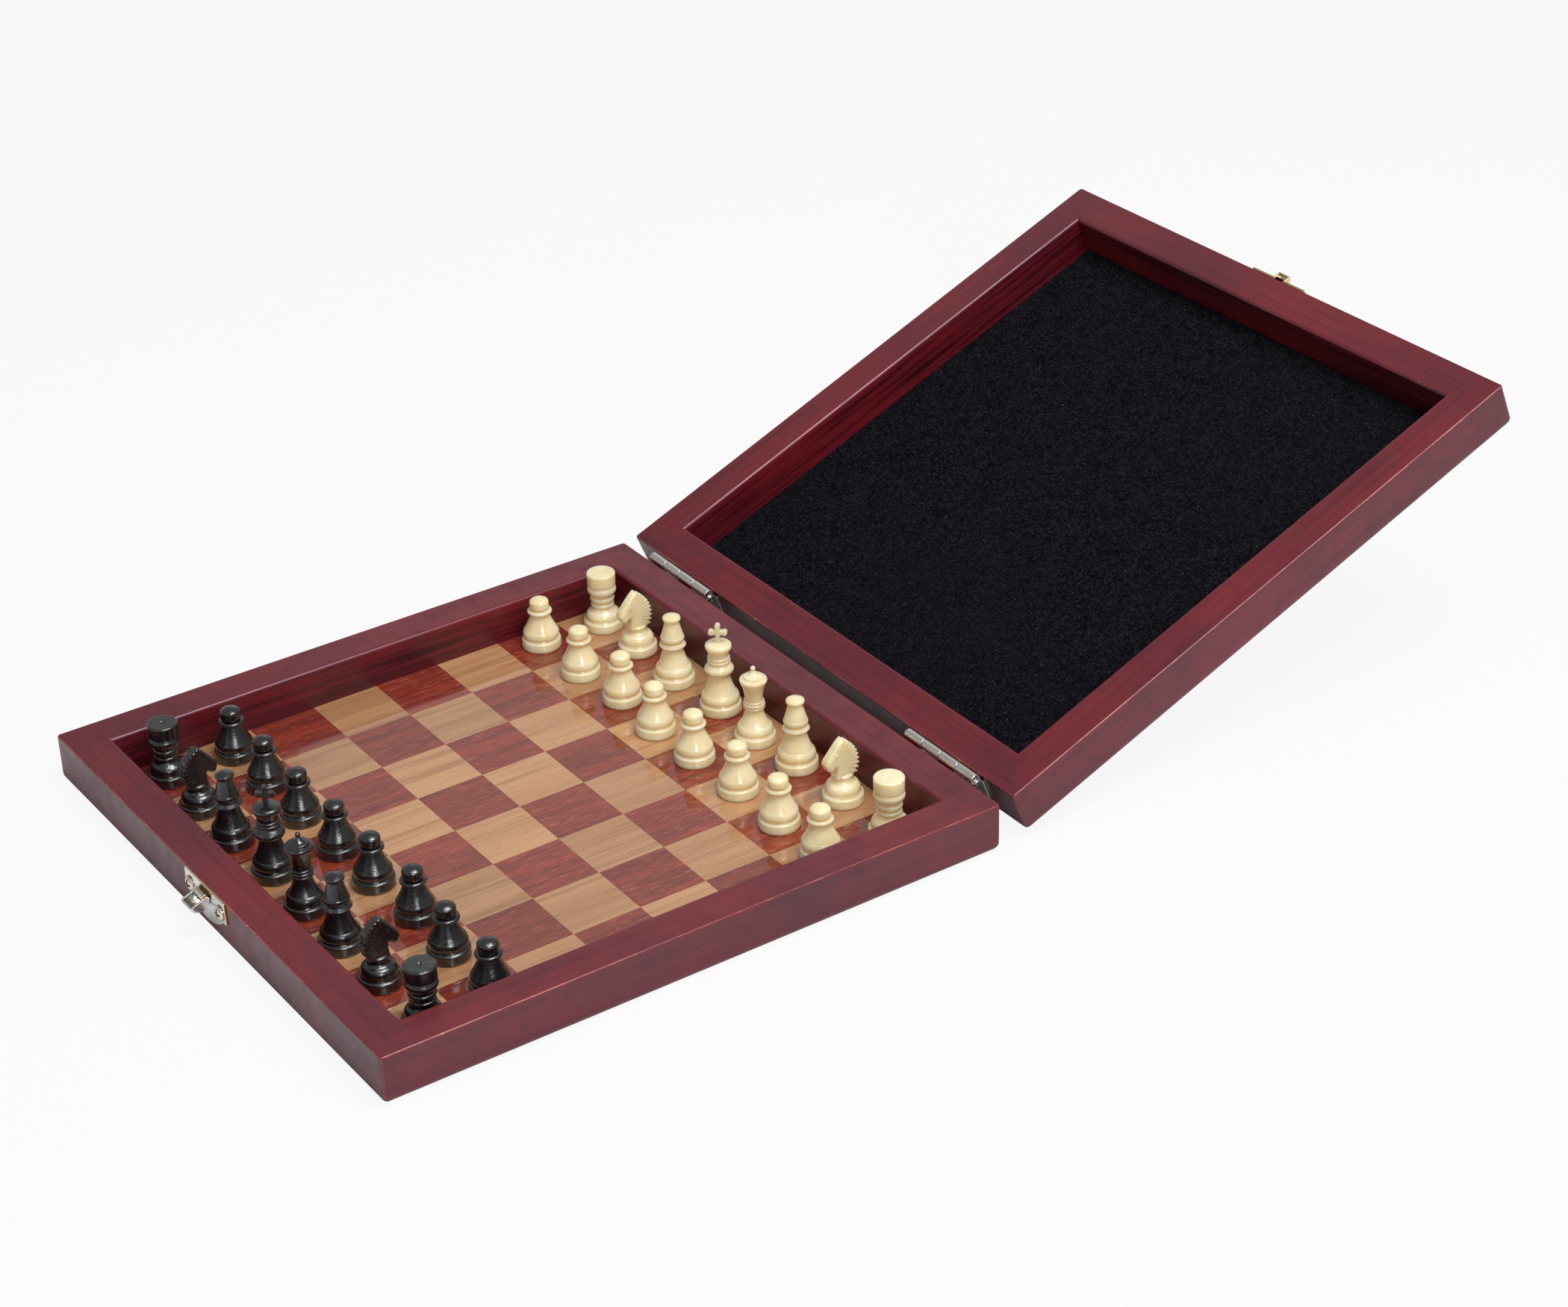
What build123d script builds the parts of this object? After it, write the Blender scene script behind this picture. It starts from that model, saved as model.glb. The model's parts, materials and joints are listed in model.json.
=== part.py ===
"""A travelling chess set: a shallow wooden box whose tray is the chess board, a felt-lined lid on two
butt hinges, a nickel catch with a swinging lever, and the 32 men standing on their squares.

Millimetres, +Z up. The origin is the middle of the box's underside. +Y runs from the catch side to the
hinge side, +X to the right of someone who faces the hinges. The lid stands open at lid_open_angle.
"""

import os
from math import atan2, cos, hypot, radians, sin, tan

from build123d import *

# --- Board and box ------------------------------------------------------------------------------
square = 22.0  # side of one square of the board
squares_per_side = 8
veneer = 0.4  # thickness of the board's squares
board_clearance = 0.1  # between the board's edge and the rails
rail_width = 12.6
base_height = 15.4
lid_height = 15.4
bottom_panel = 2.0
top_panel = 1.6
felt = 0.6
panel_lap = 5.0  # how far a panel reaches into the rabbet of the rails
panel_clearance = 0.1
felt_clearance = 0.2
shut_gap = 0.3  # between the two rims when the box is shut

# --- Rounded edges of the rails -----------------------------------------------------------------
under_round = 2.5  # long edges of the underside, and of the lid's top
corner_round = 1.2  # upright corners of the box
rim_round = 0.5  # outer edge of the rims
inner_round = 1.2  # inner edge of the rims

# --- Hinges -------------------------------------------------------------------------------------
lid_open_angle = 158.0
hinge_length = 33.0
hinge_spacing = 139.4  # centre to centre
knuckles = 4
knuckle_gap = 0.3
leaf_thickness = 0.6
leaf_height = 9.5
barrel_radius = 1.6
pin_clearance = 0.04
pin_recess = 0.7  # how far the pin ends lie inside the barrel
leaf_screws = 3
leaf_screw_spacing = 11.0
leaf_screw_drop = 5.6  # from the hinge axis to the screws

# --- Catch --------------------------------------------------------------------------------------
plate_width = 24.4
plate_thickness = 0.6
plate_side = 6.8  # straight side of a catch plate
plate_drop = 11.2  # from the straight edge to the bottom of the plate's bow
plate_tip = 0.5  # how far the side tips stand out past the straight edge
catch_screw_spacing = 18.6
catch_screw_drop = 4.2
lever_width = 6.5
lever_wall = 0.5
lever_reach = 5.2  # from the pin to the lever's nose
lever_depth = 3.3  # from the pin down to the back of the lever
lever_edge = 0.6  # how far the open edges lie above the pin
lever_nose_edge = 0.9  # how far the open edge lies below the pin at the nose
lever_round = 0.7
lever_droop = 8.0  # degrees below level, as the lever hangs open
catch_pin_radius = 0.5
catch_pin_drop = 2.5  # from the rim down to the pin
loop_radius = 0.95
loop_clearance = 0.2  # at each side of the loop, inside the lever
lever_heel = 0.8  # how far the lever's side reaches behind the pin
nose_width = 5.0
nose_depth = 2.4  # how far the keeper's nose stands off its plate
nose_step = 1.6  # the same behind the ledge that the lever hooks on
nose_ledge = 1.3  # from the lid's rim to the ledge
nose_length = 6.0
nose_tail = 0.9  # how far the nose stands off at its upper end
nose_ease = 0.2  # slope of the ledge
nose_wall = 0.5
slot_height = 0.8  # the window above the loop
pin_head_radius = 0.8
pin_head_height = 0.35

# --- Screws -------------------------------------------------------------------------------------
screw_shank = 0.9  # radius
screw_clearance = 0.05
screw_length = 7.0
catch_head_radius = 2.35
catch_head_height = 1.1
leaf_head_radius = 1.65
leaf_head_height = 0.75
cross_width = 0.75
cross_depth = 0.6

# --- Men ----------------------------------------------------------------------------------------
king_height, king_base = 30.2, 6.6
queen_height, queen_base = 26.0, 6.4
bishop_height, bishop_base = 24.0, 6.6
knight_height, knight_base = 21.6, 6.3
rook_height, rook_base = 19.9, 6.4
pawn_height, pawn_base = 17.4, 6.3
knight_thickness = 4.5  # at the collar
knight_taper = 86.0  # degrees, so the head narrows upwards
knight_corner = 0.35
knight_round = 0.9
mane_locks = 10
mane_start = 118.0  # degrees, from the ear down to the nape
mane_step = 9.9
mane_length = 3.3
mane_width = 0.75
mane_proud = 0.25
eye_radius = 0.45
eye_width = 4.3
king_cross_turn = 50.0  # degrees, as the kings are set down
cross_height = 6.3
cross_span = 5.9
cross_arm = 1.3
cross_lobe = 0.85  # radius of the rounded ends of the cross
cross_thickness = 1.6
cross_sink = 0.2  # how deep its foot is let into the king's top

# --- Sizes that follow --------------------------------------------------------------------------
board_size = square * squares_per_side
inner_size = board_size + 2 * board_clearance
box_size = inner_size + 2 * rail_width
board_top = bottom_panel + veneer
lid_rim = base_height + shut_gap  # height of the lid's rim when the box is shut
hinge_y = box_size / 2 + leaf_thickness + barrel_radius
hinge_z = base_height + shut_gap / 2
bore_radius = barrel_radius - leaf_thickness
pin_radius = bore_radius - pin_clearance
front = -box_size / 2  # the catch side's outer face
catch_pin_y = front - plate_thickness - loop_radius
catch_pin_z = base_height - catch_pin_drop

# The lid is drawn shut and then swung open about the hinge pins.
swing_open = (
    Location((0, hinge_y, hinge_z))
    * Location((0, 0, 0), (-lid_open_angle, 0, 0))
    * Location((0, -hinge_y, -hinge_z))
)

os.makedirs("parts", exist_ok=True)


def save(part, node):
    """Label a finished piece and write it as one STEP file."""
    part.label = node
    export_step(part, f"parts/{node}.step")


def opened(part):
    """A piece of the lid, swung from shut to open."""
    with BuildPart() as piece:
        with Locations(swing_open):
            add(part)
    return piece.part


# --- Rails --------------------------------------------------------------------------------------
# Each frame is made whole, with its rabbet and rounded edges, and sawn into four mitred rails.


def rail_frame(low, high, rabbet_low, rabbet_high, panel_face, rim_face):
    """A square frame of rails. panel_face and rim_face pick its faces by their sort along Z."""
    rabbet = inner_size + 2 * panel_lap
    with BuildPart() as frame:
        with BuildSketch(Plane.XY.offset(low)):
            Rectangle(box_size, box_size)
            Rectangle(inner_size, inner_size, mode=Mode.SUBTRACT)
        extrude(amount=high - low)
        upright = frame.edges().filter_by(Axis.Z).group_by(SortBy.DISTANCE)[-1]
        fillet(upright, corner_round)
        closed_face = frame.faces().sort_by(Axis.Z)[panel_face]
        fillet(closed_face.outer_wire().edges(), under_round)
        rim = frame.faces().filter_by(Plane.XY).sort_by(Axis.Z)[rim_face]
        fillet(rim.inner_wires()[0].edges(), inner_round)
        rim = frame.faces().filter_by(Plane.XY).sort_by(Axis.Z)[rim_face]
        fillet(rim.outer_wire().edges(), rim_round)
        with BuildSketch(Plane.XY.offset(rabbet_low)):
            Rectangle(rabbet, rabbet)
        extrude(amount=rabbet_high - rabbet_low, mode=Mode.SUBTRACT)
    return frame.part


def mitred_rail(frame, side):
    """One of the four rails of a frame, cut off at its two mitres. side counts quarter turns."""
    with BuildPart() as rail:
        add(frame)
        for lean in (-45, 45):
            saw = Plane((0, 0, 0), x_dir=(0, 0, 1), z_dir=(0, -1, 0)).rotated((0, 0, lean + 90 * side))
            split(bisect_by=saw, keep=Keep.TOP)
    return rail.part


base_frame = rail_frame(0, base_height, 0, bottom_panel, 0, -1)
lid_frame = rail_frame(
    lid_rim, lid_rim + lid_height, lid_rim + lid_height - top_panel, lid_rim + lid_height, -1, 0
)
sides = {"front": 0, "right": 1, "back": 2, "left": 3}
catch_screw_spots = [(-catch_screw_spacing / 2, 0), (catch_screw_spacing / 2, 0)]
leaf_screw_spots = [
    (side * hinge_spacing / 2 + (n - (leaf_screws - 1) / 2) * leaf_screw_spacing, 0)
    for side in (-1, 1)
    for n in range(leaf_screws)
]


def pilot_holes(rail, face_y, into, height, spots):
    """Cut the pilot holes of screws that enter a rail's outer face at one height."""
    with BuildPart() as drilled:
        add(rail)
        with BuildSketch(Plane((0, face_y, height), x_dir=(1, 0, 0), z_dir=(0, into, 0))):
            with Locations(*spots):
                Circle(screw_shank + screw_clearance)
        extrude(amount=screw_length, mode=Mode.SUBTRACT)
    return drilled.part


catch_screw_z = base_height - catch_screw_drop
keeper_screw_z = lid_rim + catch_screw_drop
base_leaf_screw_z = hinge_z - leaf_screw_drop
lid_leaf_screw_z = hinge_z + leaf_screw_drop

for side, turns in sides.items():
    base_rail = mitred_rail(base_frame, turns)
    lid_rail = mitred_rail(lid_frame, turns)
    if side == "front":
        base_rail = pilot_holes(base_rail, front, 1, catch_screw_z, catch_screw_spots)
        lid_rail = pilot_holes(lid_rail, front, 1, keeper_screw_z, catch_screw_spots)
    if side == "back":
        base_rail = pilot_holes(base_rail, -front, -1, base_leaf_screw_z, leaf_screw_spots)
        lid_rail = pilot_holes(lid_rail, -front, -1, lid_leaf_screw_z, leaf_screw_spots)
    save(base_rail, f"base_{side}_rail")
    save(opened(lid_rail), f"lid_{side}_rail")

# --- Panels, squares and felt -------------------------------------------------------------------
panel_size = inner_size + 2 * (panel_lap - panel_clearance)

with BuildPart() as base_bottom_panel:
    with BuildSketch():
        Rectangle(panel_size, panel_size)
    extrude(amount=bottom_panel)
save(base_bottom_panel.part, "base_bottom_panel")

with BuildPart() as lid_top_panel:
    with BuildSketch(Plane.XY.offset(lid_rim + lid_height - top_panel)):
        Rectangle(panel_size, panel_size)
    extrude(amount=top_panel)
save(opened(lid_top_panel.part), "lid_top_panel")

with BuildPart() as lid_felt:
    with BuildSketch(Plane.XY.offset(lid_rim + lid_height - top_panel - felt)):
        Rectangle(inner_size - 2 * felt_clearance, inner_size - 2 * felt_clearance)
    extrude(amount=felt)
save(opened(lid_felt.part), "lid_felt")


def square_centre(file, rank):
    """Centre of a square: files run along +X, ranks along +Y, both from 0."""
    middle = (squares_per_side - 1) / 2
    return ((file - middle) * square, (rank - middle) * square)


for shade, parity in (("light", 1), ("dark", 0)):
    spots = [
        square_centre(file, rank)
        for file in range(squares_per_side)
        for rank in range(squares_per_side)
        if (file + rank) % 2 == parity
    ]
    with BuildPart() as board_squares:
        with BuildSketch(Plane.XY.offset(bottom_panel)):
            with Locations(*spots):
                Rectangle(square, square)
        extrude(amount=veneer)
    save(board_squares.part, f"board_{shade}_squares")

# --- Screws -------------------------------------------------------------------------------------


def cross_head_screw(head_radius, head_height):
    """A raised-head screw with a crossed slot. Its seat is at the origin and its shank runs along -Z."""
    with BuildPart() as screw:
        with BuildSketch(Plane.XZ):
            with BuildLine():
                Line((0, -screw_length), (screw_shank / 3, -screw_length))
                Line((screw_shank / 3, -screw_length), (screw_shank, -screw_length + 2 * screw_shank))
                Line((screw_shank, -screw_length + 2 * screw_shank), (screw_shank, 0))
                Line((screw_shank, 0), (head_radius, 0))
                Line((head_radius, 0), (head_radius, head_height * 0.3))
                ThreePointArc(
                    (head_radius, head_height * 0.3),
                    (head_radius * 0.68, head_height * 0.82),
                    (0, head_height),
                )
                Line((0, head_height), (0, -screw_length))
            make_face()
        revolve(axis=Axis.Z)
        with BuildSketch(Plane.XY.offset(head_height - cross_depth)):
            Rectangle(head_radius * 1.3, cross_width)
            Rectangle(cross_width, head_radius * 1.3)
        extrude(amount=head_height, mode=Mode.SUBTRACT)
    return screw.part


def screw_row(screw, face_y, outward, height, spots, node, on_lid=False):
    """Screws of one row, seated on a plate whose outer face is at face_y."""
    seat = Plane((0, face_y, height), x_dir=(1, 0, 0), z_dir=(0, outward, 0))
    with BuildPart(seat) as row:
        with Locations(*spots):
            add(screw)
    save(opened(row.part) if on_lid else row.part, node)


catch_screw = cross_head_screw(catch_head_radius, catch_head_height)
leaf_screw = cross_head_screw(leaf_head_radius, leaf_head_height)
plate_face = front - plate_thickness
leaf_face = -front + leaf_thickness
screw_row(catch_screw, plate_face, -1, catch_screw_z, catch_screw_spots, "catch_screws")
screw_row(catch_screw, plate_face, -1, keeper_screw_z, catch_screw_spots, "keeper_screws", True)
screw_row(leaf_screw, leaf_face, 1, base_leaf_screw_z, leaf_screw_spots, "base_hinge_screws")
screw_row(leaf_screw, leaf_face, 1, lid_leaf_screw_z, leaf_screw_spots, "lid_hinge_screws", True)

# --- Hinges -------------------------------------------------------------------------------------
# The leaves lie on the outer back faces. Each is joggled out by its own thickness below the barrel,
# and its knuckles take turns with those of the other leaf.


def hinge_leaf(centre_x, up, first_knuckle):
    """A leaf with every second knuckle. up is 1 for the lid's leaf and -1 for the box's, both shut."""
    start_x = centre_x - hinge_length / 2
    pitch = hinge_length / knuckles
    back = -front  # the face that the leaf lies on
    tangent_y = hinge_y - barrel_radius
    joggle_end = barrel_radius * 0.9
    joggle_start = joggle_end + 2 * leaf_thickness
    with BuildPart() as leaf:
        with BuildSketch(Plane((start_x, back, hinge_z), x_dir=(0, 1, 0), z_dir=(1, 0, 0))):
            with Locations((leaf_thickness / 2, up * (leaf_height + joggle_start) / 2)):
                Rectangle(leaf_thickness, leaf_height - joggle_start)
        extrude(amount=hinge_length)
        for knuckle in range(first_knuckle, knuckles, 2):
            knuckle_x = start_x + knuckle * pitch + knuckle_gap / 2
            with BuildSketch(Plane((knuckle_x, back, hinge_z), x_dir=(0, 1, 0), z_dir=(1, 0, 0))):
                with BuildLine():
                    Polyline(
                        (0, up * joggle_start),
                        (leaf_thickness, up * joggle_start),
                        (tangent_y - back + leaf_thickness, up * joggle_end),
                        (tangent_y - back + leaf_thickness, 0),
                        (tangent_y - back, 0),
                        (tangent_y - back, up * joggle_end),
                        close=True,
                    )
                make_face()
                with Locations((hinge_y - back, 0)):
                    Circle(barrel_radius)
                    Circle(bore_radius, mode=Mode.SUBTRACT)
            extrude(amount=pitch - knuckle_gap)
        with BuildSketch(Plane((0, back, hinge_z + up * leaf_screw_drop), x_dir=(1, 0, 0), z_dir=(0, 1, 0))):
            with Locations(*leaf_screw_spots):
                Circle(screw_shank + screw_clearance)
        extrude(amount=leaf_thickness, mode=Mode.SUBTRACT)
    return leaf.part


for hand, centre_x in (("left", -hinge_spacing / 2), ("right", hinge_spacing / 2)):
    save(hinge_leaf(centre_x, -1, 0), f"base_hinge_leaf_{hand}")
    save(opened(hinge_leaf(centre_x, 1, 1)), f"lid_hinge_leaf_{hand}")

with BuildPart() as hinge_pins:
    for centre_x in (-hinge_spacing / 2, hinge_spacing / 2):
        start_x = centre_x - hinge_length / 2 + pin_recess
        with BuildSketch(Plane((start_x, hinge_y, hinge_z), x_dir=(0, 1, 0), z_dir=(1, 0, 0))):
            Circle(pin_radius)
        extrude(amount=hinge_length - 2 * pin_recess)
save(hinge_pins.part, "hinge_pins")

# --- Catch --------------------------------------------------------------------------------------


def plate_outline(up):
    """The bow-shaped outline of a catch plate, straight edge at the rim. up is -1 below the rim."""
    half = plate_width / 2
    tip = (half + plate_tip, up * plate_side)
    notch = (half - 1.8, up * (plate_side + 0.4))
    bow = (half * 0.52, up * (plate_drop - 1.5))
    with BuildSketch() as outline:
        with BuildLine():
            Line((0, 0), (half, 0))
            Line((half, 0), tip)
            Line(tip, notch)
            ThreePointArc(notch, bow, (0, up * plate_drop))
            Line((0, up * plate_drop), (0, 0))
        make_face()
        mirror(about=Plane.YZ)
        with Locations(*[(spot[0], up * catch_screw_drop) for spot in catch_screw_spots]):
            Circle(screw_shank + screw_clearance, mode=Mode.SUBTRACT)
    return outline.sketch


lever_inside = lever_width - 2 * lever_wall
loop_width = lever_inside - 2 * loop_clearance
pin_bore = catch_pin_radius + pin_clearance

with BuildPart() as catch_plate:
    with BuildSketch(Plane((0, front, base_height), x_dir=(1, 0, 0), z_dir=(0, -1, 0))):
        add(plate_outline(-1))
        with Locations((0, -catch_pin_drop + loop_radius + slot_height / 2)):
            Rectangle(loop_width, slot_height, mode=Mode.SUBTRACT)
    extrude(amount=plate_thickness)
    with BuildSketch(Plane((-loop_width / 2, catch_pin_y, catch_pin_z), x_dir=(0, 1, 0), z_dir=(1, 0, 0))):
        Circle(loop_radius)
        with Locations((loop_radius / 2, -loop_radius / 2)):
            Rectangle(loop_radius, loop_radius)
        Circle(pin_bore, mode=Mode.SUBTRACT)
    extrude(amount=loop_width)
save(catch_plate.part, "catch_plate")

with BuildPart() as catch_pin:
    with BuildSketch(Plane((-lever_width / 2, catch_pin_y, catch_pin_z), x_dir=(0, 1, 0), z_dir=(1, 0, 0))):
        Circle(catch_pin_radius)
    extrude(amount=lever_width)
    for outward in (-1, 1):
        head_x = outward * (lever_width / 2 + pin_clearance)
        with BuildSketch(Plane((head_x, catch_pin_y, catch_pin_z), x_dir=(0, 1, 0), z_dir=(outward, 0, 0))):
            Circle(pin_head_radius)
        extrude(amount=pin_head_height)
        with BuildSketch(Plane((head_x, catch_pin_y, catch_pin_z), x_dir=(0, 1, 0), z_dir=(-outward, 0, 0))):
            Circle(catch_pin_radius)
        extrude(amount=2 * pin_clearance)
save(catch_pin.part, "catch_pin")

# The lever is a pressed scoop. Its side view is drawn level, u away from the box and w up from the pin,
# and the finished lever is then let down by its droop.


def lever_view(half_width):
    """The plane of the lever's side view, at the left end of a slice of this half width."""
    return Plane((-half_width, catch_pin_y, catch_pin_z), x_dir=(0, -1, 0), z_dir=(-1, 0, 0))


def scoop_outline(inset):
    """The scoop's side view. Drawn inset, it is the hollow, which runs out at the heel and the open edge."""
    root = lever_reach * 0.12
    nose = lever_reach - inset
    back = -lever_depth + inset
    nose_edge = -lever_nose_edge + 2 * inset
    open_edge = lever_edge + 2 * inset
    with BuildSketch() as outline:
        with BuildLine():
            Line((nose, nose_edge), (0, open_edge))
            if inset:
                Polyline((0, open_edge), (-lever_reach, open_edge), (-lever_reach, back), (root, back))
            else:
                ThreePointArc((0, open_edge), (-lever_heel * 0.8, open_edge * 0.7), (-lever_heel, 0))
                ThreePointArc((-lever_heel, 0), (-lever_heel * 0.6, back * 0.6), (root, back))
            ThreePointArc((root, back), (nose * 0.82, back * 0.86), (nose, back * 0.5))
            Line((nose, back * 0.5), (nose, nose_edge))
        make_face()
    return outline.sketch


with BuildPart() as lever_level:
    with BuildSketch(lever_view(-lever_width / 2)):
        add(scoop_outline(0))
    extrude(amount=lever_width)
    nose_end = lever_level.faces().sort_by(Axis.Y)[0]
    belly = lever_level.faces().filter_by(GeomType.CYLINDER).sort_by(Axis.Z)[0]
    pressed = nose_end.edges().filter_by(Axis.Z) + belly.edges().filter_by(GeomType.CIRCLE)
    fillet(pressed, lever_round)
    with BuildSketch(lever_view(-lever_inside / 2)):
        add(scoop_outline(lever_wall))
    extrude(amount=lever_inside, mode=Mode.SUBTRACT)
    with BuildSketch(lever_view(-lever_width / 2)):
        Circle(pin_bore)
    extrude(amount=lever_width, mode=Mode.SUBTRACT)

droop = (
    Location((0, catch_pin_y, catch_pin_z))
    * Location((0, 0, 0), (lever_droop, 0, 0))
    * Location((0, -catch_pin_y, -catch_pin_z))
)
with BuildPart() as catch_lever:
    with Locations(droop):
        add(lever_level.part)
save(catch_lever.part, "catch_lever")

# The keeper's nose is a hood pressed out of its plate, open towards the lid's rim.


def nose_outline(inset):
    """Side view of the nose from the plate's outer face, drawn inset but run on through the plate."""
    mouth = -inset
    with BuildSketch() as outline:
        with BuildLine():
            Polyline(
                (-inset * 2, mouth),
                (nose_depth - inset, mouth),
                (nose_depth - inset, nose_ledge - inset),
                (nose_step - inset, nose_ledge + nose_ease - inset),
                (nose_tail - inset / 2, nose_length - inset),
                (-inset * 2, nose_length - inset),
                close=True,
            )
        make_face()
    return outline.sketch


with BuildPart() as keeper_plate:
    with BuildSketch(Plane((0, front, lid_rim), x_dir=(1, 0, 0), z_dir=(0, -1, 0))):
        add(plate_outline(1))
    extrude(amount=plate_thickness)
    with BuildSketch(Plane((nose_width / 2, plate_face, lid_rim), x_dir=(0, -1, 0), z_dir=(-1, 0, 0))):
        add(nose_outline(0))
    extrude(amount=nose_width)
    hood_half = nose_width / 2 - nose_wall
    with BuildSketch(Plane((hood_half, plate_face, lid_rim), x_dir=(0, -1, 0), z_dir=(-1, 0, 0))):
        add(nose_outline(nose_wall))
    extrude(amount=2 * hood_half, mode=Mode.SUBTRACT)
save(opened(keeper_plate.part), "keeper_plate")

# --- Men ----------------------------------------------------------------------------------------
# A turned man's outline starts at the middle of its foot and goes up to the middle of its top. A pair
# is a straight run to that (radius, height), and four numbers are an arc through the first pair to the
# second. The last run, to the axis, is a round cap. Each outline is stretched to the man's named base
# radius and height.


def arc_centre(start, middle, end):
    """Centre and radius of the arc through three points."""
    span = [end[axis] - start[axis] for axis in (0, 1)]
    lean = [middle[axis] - start[axis] for axis in (0, 1)]
    cross = 2 * (lean[0] * span[1] - lean[1] * span[0])
    far, near = span[0] ** 2 + span[1] ** 2, lean[0] ** 2 + lean[1] ** 2
    across = (span[1] * near - lean[1] * far) / cross
    up = (lean[0] * far - span[0] * near) / cross
    return (start[0] + across, start[1] + up), hypot(across, up)


def cap_middle(edge, top):
    """Halfway point of a round cap, centred on the axis, from its edge to the middle of a man's top."""
    radius, height = edge
    centre = (top**2 - height**2 - radius**2) / (2 * (top - height))
    up = 1 if top > centre else -1
    cap_radius = abs(top - centre)
    half_angle = atan2(radius, up * (height - centre)) / 2
    return (cap_radius * sin(half_angle), centre + up * cap_radius * cos(half_angle))


def turned_man(outline, height, base):
    """A man turned from its outline, standing on the plane Z = 0."""
    across = base / outline_reach
    up = height / max(step[-1] for step in outline)
    with BuildPart() as man:
        with BuildSketch(Plane.XZ):
            with BuildLine():
                here = (0, 0)
                for step in outline:
                    points = [(across * r, up * z) for r, z in zip(step[::2], step[1::2])]
                    radius, top = points[-1]
                    if radius == 0:
                        points.insert(0, cap_middle(here, top))
                    if len(points) == 1:
                        Line(here, points[0])
                    else:
                        ThreePointArc(here, *points)
                    here = points[-1]
                Line(here, (0, 0))
            make_face()
        revolve(axis=Axis.Z)
    return man.part


outline_reach = 6.4  # base radius that every outline is drawn at
foot = [(6.05, 0), (6.32, 0.35, 6.4, 1.0), (6.32, 2.6), (6.22, 3.1, 5.9, 3.35), (5.6, 3.5), (5.4, 3.9)]

pawn_outline = foot + [
    (5.75, 4.3),
    (5.8, 5.5, 5.25, 6.65),
    (3.9, 9.3, 2.9, 11.9),
    (3.5, 12.1),
    (4.0, 12.7, 3.5, 13.3),
    (2.6, 13.5),
    (2.8, 13.7),
    (3.1, 13.95, 3.2, 14.4),
    (3.15, 15.7),
    (2.95, 16.3, 2.5, 16.7),
    (0, 17.4),
]
rook_outline = foot + [
    (5.45, 4.4),
    (5.18, 5.6, 4.25, 6.55),
    (3.55, 7.3, 3.3, 8.0),
    (3.75, 8.6, 3.4, 9.2),
    (3.4, 9.9),
    (3.95, 10.7, 3.5, 11.6),
    (3.6, 12.6),
    (4.45, 13.1),
    (4.68, 14.0, 4.4, 14.9),
    (4.2, 15.4),
    (4.55, 15.8),
    (4.6, 19.2),
    (4.5, 19.7, 4.1, 19.9),
    (0.8, 19.9),
    (0, 19.5),
]
bishop_outline = foot + [
    (5.65, 4.4),
    (5.58, 5.55, 4.75, 6.85),
    (3.7, 9.6, 2.95, 12.6),
    (3.3, 12.8),
    (4.1, 13.6),
    (3.4, 14.5),
    (3.0, 14.7),
    (3.3, 15.1),
    (3.65, 15.9, 3.4, 16.9),
    (2.1, 21.6),
    (2.1, 21.9),
    (2.75, 22.5, 2.6, 23.3),
    (0, 24.0),
]
queen_outline = foot + [
    (5.6, 4.4),
    (5.38, 5.6, 4.5, 6.7),
    (3.2, 9.4, 2.75, 11.8),
    (3.3, 12.25, 2.95, 12.7),
    (2.95, 12.85),
    (3.4, 13.35, 2.95, 13.85),
    (2.95, 14.0),
    (3.15, 14.35, 2.8, 14.7),
    (3.1, 18.2, 4.1, 21.0),
    (4.25, 21.6, 4.0, 22.1),
    (3.0, 22.4),
    (2.95, 22.9),
    (2.6, 23.1),
    (1.3, 23.7, 0.6, 24.9),
    (0, 26.3),
]
king_outline = foot + [
    (5.75, 4.4),
    (5.7, 5.5, 4.95, 6.75),
    (3.7, 9.9, 3.0, 13.2),
    (3.4, 13.4),
    (4.4, 14.6, 4.0, 15.7),
    (3.2, 16.6),
    (3.1, 17.0),
    (3.5, 17.5, 3.1, 18.1),
    (3.4, 18.6, 3.05, 19.1),
    (3.2, 20.4, 3.75, 21.6),
    (4.0, 22.4, 3.85, 23.1),
    (3.4, 23.4),
    (0, 23.9),
]
knight_outline = foot + [
    (5.35, 4.4),
    (5.1, 5.8, 4.2, 6.8),
    (3.0, 7.6, 2.8, 8.5),
    (3.1, 9.1, 2.7, 9.7),
    (0, 10.0),
]

# The horse's head in side view, (forward, up) from the middle of its foot.
knight_body = 10.0  # height of the turned part under it
knight_collar = 9.0
nape = (-2.9, 9.0)
crest = (-4.35, 14.5)
poll = (-0.8, 20.5)
ear = (0.9, 21.6)
brow = (2.3, 20.3)
nose_bridge = (6.1, 15.6)
nose_tip = (6.6, 14.3)
chin = (5.7, 12.2)
jaw = (4.6, 12.1)
throat = (2.9, 13.2)
breast = (2.8, 11.2)
chest = (3.1, 9.0)
eye = (2.9, 17.0)


def king_man():
    """The king: a turned body with a cross whose ends are lobed."""
    body_height = king_height - cross_height
    arm_height = king_height - cross_span / 2
    lobe_spot = cross_span / 2 - cross_lobe
    lobes = [(-lobe_spot, arm_height), (0, king_height - cross_lobe), (lobe_spot, arm_height)]
    with BuildPart() as man:
        add(turned_man(king_outline, body_height, king_base))
        with BuildSketch(Plane.XZ.offset(-cross_thickness / 2)):
            with Locations((0, body_height - cross_sink)):
                Rectangle(cross_arm, cross_height + cross_sink - cross_lobe, align=(Align.CENTER, Align.MIN))
            with Locations((0, arm_height)):
                Rectangle(2 * lobe_spot, cross_arm)
            with Locations(*lobes):
                Circle(cross_lobe)
        extrude(amount=cross_thickness)
    return man.part


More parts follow.
